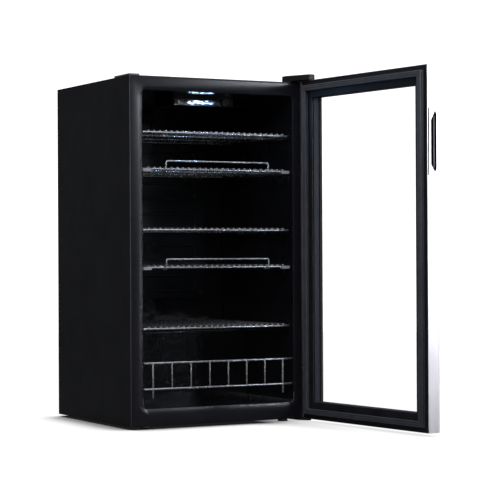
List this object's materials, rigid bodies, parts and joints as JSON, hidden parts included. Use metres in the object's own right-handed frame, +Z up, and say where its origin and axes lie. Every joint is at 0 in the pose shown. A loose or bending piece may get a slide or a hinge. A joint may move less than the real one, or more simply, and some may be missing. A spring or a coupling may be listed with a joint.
{
  "type": "mini fridge",
  "caption": "Counter-height beverage fridge: black cabinet, sliding chrome wire shelves and a hinged double-glazed door with steel trim.",
  "frame": {"origin": "on the floor under the centre of the cabinet's footprint", "axes": "+X to the right seen from the front, +Y to the back, +Z up"},
  "size_m": [0.5432, 0.9326, 0.857],
  "materials": {
    "outer_shell": "satin",
    "base_pan": "satin",
    "back_panel": "satin",
    "bay_panel": "satin",
    "foam": "matte",
    "liner": "gloss",
    "front_frame": "satin",
    "hinge_hole_cap": "satin",
    "hinge_bracket_top": "satin",
    "hinge_cover": "satin",
    "hinge_bracket_bottom": "satin",
    "screws": "satin",
    "bottle_guard": "polished",
    "guard_sockets": "satin",
    "evaporator": "gloss",
    "evaporator_standoffs": "satin",
    "control_box": "satin",
    "lamp_lens": "satin",
    "led_board": "satin",
    "thermostat": "matte",
    "drain_tube": "satin",
    "drip_tray": "matte",
    "compressor": "satin",
    "compressor_mounts": "matte",
    "relay_box": "matte",
    "condenser": "satin",
    "condenser_clips": "matte",
    "filter_drier": "satin",
    "refrigerant_lines": "satin",
    "cable_gland": "matte",
    "rear_feet": "matte",
    "foot_sleeves": "matte",
    "door_frame": "satin",
    "trim_handle_side": "satin",
    "trim_hinge_side": "satin",
    "trim_top": "satin",
    "trim_bottom": "satin",
    "inner_glass": "polished",
    "outer_glass": "polished",
    "glass_spacer": "satin",
    "gasket": "satin",
    "gasket_magnet": "matte",
    "handle_plate": "satin",
    "handle_cup": "gloss",
    "hinge_bushes": "satin",
    "shelf_1": "polished",
    "shelf_2": "polished",
    "shelf_2_guard": "polished",
    "shelf_2_clips": "satin",
    "shelf_3": "polished",
    "shelf_4": "polished",
    "shelf_4_guard": "polished",
    "shelf_4_clips": "satin",
    "shelf_5": "polished",
    "thermostat_knob": "satin",
    "lamp_switch": "satin",
    "foot_pad_left": "matte",
    "foot_stud_left": "satin",
    "foot_pad_right": "matte",
    "foot_stud_right": "satin"
  },
  "bodies": {
    "cabinet": {"outer_shell": "outer_shell", "base_pan": "base_pan", "back_panel": "back_panel", "bay_panel": "bay_panel", "foam": "foam", "liner": "liner", "front_frame": "front_frame", "hinge_hole_cap": "hinge_hole_cap", "hinge_bracket_top": "hinge_bracket_top", "hinge_cover": "hinge_cover", "hinge_bracket_bottom": "hinge_bracket_bottom", "screws": "screws", "bottle_guard": "bottle_guard", "guard_sockets": "guard_sockets", "evaporator": "evaporator", "evaporator_standoffs": "evaporator_standoffs", "control_box": "control_box", "lamp_lens": "lamp_lens", "led_board": "led_board", "thermostat": "thermostat", "drain_tube": "drain_tube", "drip_tray": "drip_tray", "compressor": "compressor", "compressor_mounts": "compressor_mounts", "relay_box": "relay_box", "condenser": "condenser", "condenser_clips": "condenser_clips", "filter_drier": "filter_drier", "refrigerant_lines": "refrigerant_lines", "cable_gland": "cable_gland", "rear_feet": "rear_feet", "foot_sleeves": "foot_sleeves"},
    "door": {"door_frame": "door_frame", "trim_handle_side": "trim_handle_side", "trim_hinge_side": "trim_hinge_side", "trim_top": "trim_top", "trim_bottom": "trim_bottom", "inner_glass": "inner_glass", "outer_glass": "outer_glass", "glass_spacer": "glass_spacer", "gasket": "gasket", "gasket_magnet": "gasket_magnet", "handle_plate": "handle_plate", "handle_cup": "handle_cup", "hinge_bushes": "hinge_bushes"},
    "shelf_1": {"shelf_1": "shelf_1"},
    "shelf_2": {"shelf_2": "shelf_2", "shelf_2_guard": "shelf_2_guard", "shelf_2_clips": "shelf_2_clips"},
    "shelf_3": {"shelf_3": "shelf_3"},
    "shelf_4": {"shelf_4": "shelf_4", "shelf_4_guard": "shelf_4_guard", "shelf_4_clips": "shelf_4_clips"},
    "shelf_5": {"shelf_5": "shelf_5"},
    "thermostat_dial": {"thermostat_knob": "thermostat_knob"},
    "lamp_rocker": {"lamp_switch": "lamp_switch"},
    "foot_left": {"foot_pad_left": "foot_pad_left"},
    "foot_left_screw": {"foot_stud_left": "foot_stud_left"},
    "foot_right": {"foot_pad_right": "foot_pad_right"},
    "foot_right_screw": {"foot_stud_right": "foot_stud_right"}
  },
  "joints": [
    {"name": "door_hinge", "type": "hinge", "parent": "cabinet", "child": "door", "pos_m": [0.2334, -0.2403, 0.425], "axis": [0, 0, 1], "range_deg": [-95.7, 24.3]},
    {"name": "shelf_1_slide", "type": "slide", "parent": "cabinet", "child": "shelf_1", "axis": [0, -1, 0], "range_m": [0, 0.3]},
    {"name": "shelf_2_slide", "type": "slide", "parent": "cabinet", "child": "shelf_2", "axis": [0, -1, 0], "range_m": [0, 0.3]},
    {"name": "shelf_3_slide", "type": "slide", "parent": "cabinet", "child": "shelf_3", "axis": [0, -1, 0], "range_m": [0, 0.3]},
    {"name": "shelf_4_slide", "type": "slide", "parent": "cabinet", "child": "shelf_4", "axis": [0, -1, 0], "range_m": [0, 0.3]},
    {"name": "shelf_5_slide", "type": "slide", "parent": "cabinet", "child": "shelf_5", "axis": [0, -1, 0], "range_m": [0, 0.3]},
    {"name": "thermostat_turn", "type": "hinge", "parent": "cabinet", "child": "thermostat_dial", "pos_m": [0.064, -0.13, 0.792], "axis": [0, 1, 0], "range_deg": [0, 300]},
    {"name": "lamp_switch_rock", "type": "hinge", "parent": "cabinet", "child": "lamp_rocker", "pos_m": [-0.0695, -0.1215, 0.792], "axis": [1, 0, 0], "range_deg": [-11, 0]},
    {"name": "foot_left_travel", "type": "slide", "parent": "cabinet", "child": "foot_left", "axis": [0, 0, -1], "range_m": [0, 0.012]},
    {"name": "foot_left_turn", "type": "hinge", "parent": "foot_left", "child": "foot_left_screw", "pos_m": [-0.188, -0.192, 0.01], "axis": [0, 0, -1], "range_deg": [0, 3456]},
    {"name": "foot_right_travel", "type": "slide", "parent": "cabinet", "child": "foot_right", "axis": [0, 0, -1], "range_m": [0, 0.012]},
    {"name": "foot_right_turn", "type": "hinge", "parent": "foot_right", "child": "foot_right_screw", "pos_m": [0.188, -0.192, 0.01], "axis": [0, 0, -1], "range_deg": [0, 3456]}
  ],
  "couplings": [
    {"joint": "foot_left_turn", "follows": "foot_left_travel", "rad_per_m": 5026.5},
    {"joint": "foot_right_turn", "follows": "foot_right_travel", "rad_per_m": 5026.5}
  ]
}
